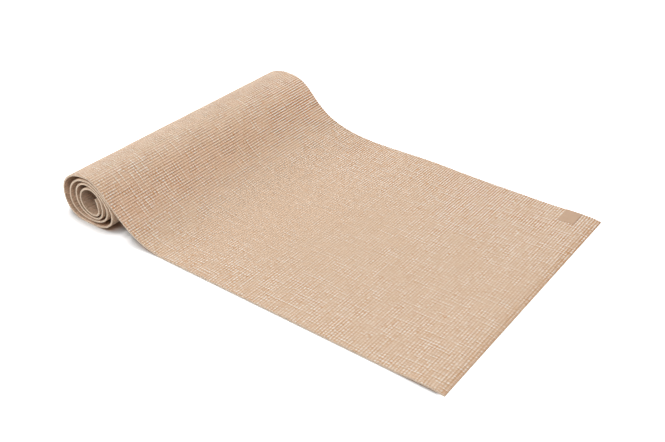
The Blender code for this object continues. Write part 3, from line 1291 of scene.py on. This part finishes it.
# %% [markdown]
# Foam where it was cut.
#
# The edges were cut with a knife, so they show the foam's cells, with thin bright walls round
# darker pores. A noise would be too soft for them. Voronoi cells have walls, and here they read
# the piece's own coordinates, because the cut goes through the thickness, where the flat sheet
# has no pattern.

# %% The cut edges
CELLS_TO_A_METRE = 1700
WALL_SPAN = (0.15, 0.6)
PORE = (0.80, 0.61, 0.45, 1)
WALL = (0.95, 0.76, 0.58, 1)
CUT_CLOUD = (0.82, 0.62, 0.46, 1)
CUT_CLOUDS_TO_A_METRE = 120
CUT_CLOUDED = 0.25
CUT_ROUGHNESS = 0.9
WALL_POLISH = 0.05
CUT_BUMP = 0.00015


def paint_foam_cut():
    """The cut edges of both foams."""
    board, shader = paint_board("foam_cut")
    place = board.node("ShaderNodeTexCoord").output("Object")
    sockets = {"Vector": place, "Scale": CELLS_TO_A_METRE}
    cells = board.node("ShaderNodeTexVoronoi", {"feature": "F1"}, sockets)
    wall = board.smooth(cells.output("Distance"), *WALL_SPAN)
    sockets = {"Vector": place, "Scale": CUT_CLOUDS_TO_A_METRE, "Detail": FINE_DETAIL}
    cloud = board.node("ShaderNodeTexNoise", (), sockets)
    color = board.blend(wall, PORE, WALL)
    color = board.blend(CUT_CLOUDED * cloud, color, CUT_CLOUD)
    finish(board, shader, color, CUT_ROUGHNESS - WALL_POLISH * wall, wall, CUT_BUMP)
    print(f"Cut foam: {CELLS_TO_A_METRE} cells to a metre")


paint_foam_cut()

# %% [markdown]
# The scrim.
#
# The scrim is a plain weave of polyester yarn, and only its edge is ever seen, as a thin line
# between the foams. Single yarns could be modelled, but at 1.5 mm apart they would be thousands of
# loops that nobody sees. Two sines, one for each direction of the weave, are enough.

# %% Woven yarn
YARN_PITCH = 0.0015
YARN_GAP = (0.45, 0.36, 0.28, 1)
YARN = (0.76, 0.66, 0.54, 1)
YARN_ROUGHNESS = 0.8
YARN_FUZZ = 0.1
YARN_BUMP = 0.0002


def paint_scrim():
    """The scrim's weave."""
    board, shader = paint_board("scrim_yarn")
    across, along = sheet_place(board)
    weft = abs(board.math("SINE", along * (math.pi / YARN_PITCH)))
    warp = abs(board.math("SINE", across * (math.pi / YARN_PITCH)))
    weave = board.math("MAXIMUM", weft, warp)
    color = board.blend(weave, YARN_GAP, YARN)
    finish(board, shader, color, YARN_ROUGHNESS + YARN_FUZZ * weave, weave, YARN_BUMP)
    print(f"Scrim: yarn every {YARN_PITCH} m")


paint_scrim()

# %% [markdown]
# The grip foam.
#
# The underside shows inside the roll. It has the same pitch of ribs, but they are low and broken,
# and its skin is coarse so that it doesn't slip. Its ribs are too low for a mesh, so they are
# only paint and bump. In the photograph the innermost turn is darker than the lamps make it here,
# so painted shade turns its colour down a little there.

# %% The underside
GRIP_GROOVE = (0.63, 0.43, 0.30, 1)
GRIP_CREST = (0.75, 0.55, 0.40, 1)
GRIP_HUMP = (0.5, 0.4)
GRIP_DASHES_TO_A_METRE = 90
GRIP_DASH_SPAN = (0.35, 0.6)
GRIP_GRAINS_TO_A_METRE = (140, 280)
GRIP_DETAIL = 3
GRIP_COARSENESS = 0.75
GRIP_GRAINED = 1.6
# Painted shade deep inside the roll, on the innermost turn.
INNER_TURN_SHADE_SPAN = (0.20, 0.45)
INNER_TURN_PAINTED_SHADE = -0.22
GRIP_ROUGHNESS = 0.8
GRIP_TACK = 0.08
GRIP_GRAIN_RELIEF = 0.4
GRIP_BUMP = 0.0003


def paint_grip_foam():
    """The lower foam's face."""
    board, shader = paint_board("grip_foam")
    across, along = sheet_place(board)
    rib = along / RIB_STEP
    number = math.floor(rib)
    row = row_place(number, "grip dashes")
    dash = pattern_noise(board, "grip dashes", across * GRIP_DASHES_TO_A_METRE, row, 1)
    crest = board.hump(rib - number, *GRIP_HUMP) * board.smooth(dash, *GRIP_DASH_SPAN)
    place = across * GRIP_GRAINS_TO_A_METRE[0], along * GRIP_GRAINS_TO_A_METRE[1]
    grain = pattern_noise(board, "grip grain", *place, GRIP_DETAIL, GRIP_COARSENESS) - 0.5
    # 1 on the innermost turn, which gets painted shade.
    inner = 1 - board.smooth(along, *INNER_TURN_SHADE_SPAN)
    color = board.blend(crest, GRIP_GROOVE, GRIP_CREST)
    value = (1 + GRIP_GRAINED * grain) * (1 + INNER_TURN_PAINTED_SHADE * inner)
    color = board.node("ShaderNodeHueSaturation", (), {"Color": color, "Value": value})
    relief = crest + GRIP_GRAIN_RELIEF * grain
    finish(board, shader, color, GRIP_ROUGHNESS + GRIP_TACK * crest, relief, GRIP_BUMP)
    print(f"Grip foam: darker up to {INNER_TURN_SHADE_SPAN[0]} m from its inner end")


paint_grip_foam()

# %% [markdown]
# The label's face.
#
# Where the foam was pressed smooth it is darker and a little glossier, with hardly any grain. A
# plain colour would be close, but looks like a hole beside so much texture. So it has a fine
# grain, faint clouds, and a dark rim at its outer end, painted shade where the patch dips into
# its pocket.

# %% The bare label
LABEL_DARK = (0.525, 0.355, 0.24, 1)
LABEL_PALE = (0.565, 0.385, 0.264, 1)
# Painted shade along the label's outer end, where it dips into its pocket.
LABEL_RIM_SHADE = (0.30, 0.18, 0.11, 1)
LABEL_RIM_SHADE_WIDTH = 0.0018
LABEL_RIM_SHADE_SHARE = 0.9
LABEL_GRAINS_TO_A_METRE = 900
LABEL_CLOUDS_TO_A_METRE = 90
LABEL_GRAINED = 0.08
LABEL_ROUGHNESS = 0.62
LABEL_ROUGH_GRAIN = 0.1
LABEL_BUMP = 0.00005


def paint_label():
    """The label's face."""
    board, shader = paint_board("label_face")
    across, along = sheet_place(board)
    grain_place = across * LABEL_GRAINS_TO_A_METRE, along * LABEL_GRAINS_TO_A_METRE
    cloud_place = across * LABEL_CLOUDS_TO_A_METRE, along * LABEL_CLOUDS_TO_A_METRE
    grain = pattern_noise(board, "label grain", *grain_place, FINE_DETAIL) - 0.5
    cloud = pattern_noise(board, "label clouds", *cloud_place, 1)
    color = board.blend(cloud, LABEL_DARK, LABEL_PALE)
    value = 1 + LABEL_GRAINED * grain
    color = board.node("ShaderNodeHueSaturation", (), {"Color": color, "Value": value})
    # The rim of painted shade at the label's outer end.
    rim = board.smooth(along, LABEL_END - LABEL_RIM_SHADE_WIDTH, LABEL_END)
    color = board.blend(LABEL_RIM_SHADE_SHARE * rim, color, LABEL_RIM_SHADE)
    finish(board, shader, color, LABEL_ROUGHNESS + LABEL_ROUGH_GRAIN * grain, grain, LABEL_BUMP)
    print("Painted", ", ".join(sorted(MATERIALS)))


paint_label()

# %% [markdown]
# The floor.
#
# The mat lies on a white floor that is burnt out to white, and only the shadow where the mat
# touches it is left. Strong lamps could burn it out, but they would bleach the mat too. So the
# floor glows a little for the eye, and less where something stands close above it, which Ambient
# Occlusion measures. In that shadow the floor's colour is painted warm, a painted bounce of light
# from the mat. Past the free end the glow fills the shadow in, as painted light.

# %% Rays that the eye sees
def seen_directly(board):
    """1 for rays that end in the eye, straight or by way of a mirror or glass."""
    path = board.node("ShaderNodeLightPath")
    names = ("Is Camera Ray", "Is Glossy Ray", "Is Transmission Ray")
    camera, glossy, passed = [path.output(name) for name in names]
    return board.math("MINIMUM", camera + glossy + passed, 1)


print("Floor and world can tell the eye's rays from the mat's")

# %% A floor that glows
FLOOR_HALF = 6.0
FLOOR_BELOW = 0.0003
FLOOR_ROUGHNESS = 0.9
FLOOR_WHITE = (0.76, 0.76, 0.76, 1)
# The floor's colour deep in the contact shadow, a painted bounce of light from the mat.
FLOOR_PAINTED_BOUNCE = (0.76, 0.62, 0.54, 1)
FLOOR_GLOW = 1.05
SHADOW_REACH = 0.04
SHADOW_SPAN = (0.5, 1.1)
PAINTED_BOUNCE_SPAN = (0.25, 0.55)
# Past the free end the floor's glow fills its shadow in, as painted light.
SHADOW_LIFTED_SPAN = (0.410, 0.430)
PURE_WHITE = (1, 1, 1, 1)


def paint_floor(material):
    """White paint that glows, but not in the contact shadow."""
    material.use_nodes = True
    board = Board(material.node_tree)
    shader = material.node_tree.nodes["Principled BSDF"]
    shader.inputs["Roughness"].default_value = FLOOR_ROUGHNESS
    shader.inputs["Specular IOR Level"].default_value = 0.0
    around = board.node("ShaderNodeAmbientOcclusion", (), {"Distance": SHADOW_REACH})
    open_sky = around.output("AO")
    # Painted bounce light: the floor turns warm where Ambient Occlusion is low.
    color = board.blend(board.smooth(open_sky, *PAINTED_BOUNCE_SPAN), FLOOR_PAINTED_BOUNCE, FLOOR_WHITE)
    board.tree.links.new(color.socket, shader.inputs["Base Color"])
    # Past the free end the glow fills the contact shadow in, as painted light.
    along_floor, _, _ = board.parts(board.node("ShaderNodeTexCoord").output("Object"))
    shadow_lifted = board.smooth(along_floor, *SHADOW_LIFTED_SPAN)
    clear = board.math("MAXIMUM", board.smooth(open_sky, *SHADOW_SPAN), shadow_lifted)
    glow = FLOOR_GLOW * seen_directly(board) * clear
    light = board.node("ShaderNodeEmission", (), {"Color": PURE_WHITE, "Strength": glow})
    both = board.node("ShaderNodeAddShader", (), {0: Wire(board, shader.outputs[0]), 1: light})
    surface = material.node_tree.nodes["Material Output"].inputs["Surface"]
    board.tree.links.new(both.socket, surface)


def make_floor():
    """A wide square just under the mat."""
    mesh = bpy.data.meshes.new("floor")
    signs = ((-1, -1), (1, -1), (1, 1), (-1, 1))
    corners = [(x * FLOOR_HALF, y * FLOOR_HALF, -FLOOR_BELOW) for x, y in signs]
    mesh.from_pydata(corners, [], [range(len(corners))])
    made = bpy.data.objects.new("floor", mesh)
    bpy.context.scene.collection.objects.link(made)
    material = bpy.data.materials.new("white_floor")
    paint_floor(material)
    mesh.materials.append(material)
    print(f"Floor of {2 * FLOOR_HALF} m")
    return made


floor = make_floor()

# %% [markdown]
# The light.
#
# The photograph's light is soft and even, with a low lamp at the roll's side that draws out its
# turns. A picture of a studio could light the scene from all round, but it would flatten the
# ribs. Three large soft boxes keep them, and a faint world lifts the shadows. The world is white
# for the eye and nearly dark for the mat.

# %% Soft boxes and the world
WORLD_LEVEL = 0.04
LAMP_SIZE = 1.6
LAMP_DISTANCE = 3.2
LAMPS = (
    ("low_left", 210, 30, 40),
    ("behind", 90, 60, 58),
    ("in_front", 300, 55, 47),
)


def add_lamp(name, azimuth, elevation, watts):
    """A square soft box that shines at the mat from these angles, in degrees."""
    lamp = bpy.data.lights.new(name, "AREA")
    lamp.shape = "SQUARE"
    lamp.size = LAMP_SIZE
    lamp.energy = watts
    box = bpy.data.objects.new(name, lamp)
    bpy.context.scene.collection.objects.link(box)
    around = math.radians(azimuth)
    flat = math.cos(math.radians(elevation))
    up = math.sin(math.radians(elevation))
    box.location = LAMP_DISTANCE * Vector((math.cos(around) * flat, math.sin(around) * flat, up))
    box.rotation_euler = (-box.location).to_track_quat("-Z", "Y").to_euler()


def light_the_set():
    """A world for the eye, and the lamps for the mat."""
    world = bpy.data.worlds.new("soft_tent")
    bpy.context.scene.world = world
    world.use_nodes = True
    board = Board(world.node_tree)
    background = world.node_tree.nodes["Background"]
    background.inputs["Color"].default_value = PURE_WHITE
    level = WORLD_LEVEL + (1 - WORLD_LEVEL) * seen_directly(board)
    board.tree.links.new(level.socket, background.inputs["Strength"])
    for lamp in LAMPS:
        add_lamp(*lamp)


light_the_set()
print(f"World at {WORLD_LEVEL}, lamps {[name for name, *_ in LAMPS]}")

# %% [markdown]
# The camera.
#
# It stands where the photograph was taken from, which was worked out from the mat's straight
# edges and its known width. A camera could be aimed by eye, but then no size could be read off
# the photograph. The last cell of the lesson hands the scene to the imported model's frame.

# %% The photograph's viewpoint
CAMERA_PLACE = Vector((0.8885, -1.2641, 0.9999))
CAMERA_AZIMUTH = math.radians(35.220)
CAMERA_ELEVATION = math.radians(33.106)
CAMERA_ROLL = math.radians(1.337)
IMAGE_WIDTH_PX = 665
FOCAL_LENGTH_PX = 934.0
SENSOR_WIDTH_MM = 36


def camera_axes():
    """The camera's right, up and back directions, as the columns of a matrix."""
    flat = math.cos(CAMERA_ELEVATION)
    back = Vector(
        (math.sin(CAMERA_AZIMUTH) * flat, -math.cos(CAMERA_AZIMUTH) * flat, math.sin(CAMERA_ELEVATION))
    )
    right = Vector((math.cos(CAMERA_AZIMUTH), math.sin(CAMERA_AZIMUTH), 0))
    up = back.cross(right)
    turn = Matrix.Rotation(CAMERA_ROLL, 3, back)
    return Matrix((turn @ right, turn @ up, back)).transposed()


def set_up_camera():
    """The camera that took the photograph."""
    lens = bpy.data.cameras.new("camera")
    lens.sensor_fit = "HORIZONTAL"
    lens.sensor_width = SENSOR_WIDTH_MM
    lens.lens = FOCAL_LENGTH_PX / IMAGE_WIDTH_PX * SENSOR_WIDTH_MM
    camera = bpy.data.objects.new("camera", lens)
    camera.matrix_world = Matrix.Translation(CAMERA_PLACE) @ camera_axes().to_4x4()
    bpy.context.scene.collection.objects.link(camera)
    bpy.context.scene.camera = camera
    print(f"Camera with a lens of {lens.lens:.2f} mm")


set_up_camera()

# %% [markdown]
# What stands for what.
#
# Each painted piece takes the place of one solid of the imported model and rides on the same
# body. The three layers are sheets of soft goods that lie on one another, the lowest of them on
# the floor.

# %% Riding and replacing
for piece, node, slot in (
    (upper_foam, "upper_foam", "upper_foam"),
    (scrim, "reinforcing_scrim", "scrim_yarn"),
    (lower_foam, "lower_foam", "lower_foam"),
    (label, "corner_label", "corner_label"),
):
    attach(piece, "root")
    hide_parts(node)
    print(f"{piece.name} stands for {node}")

bpy.context.scene.view_settings.view_transform = "Standard"
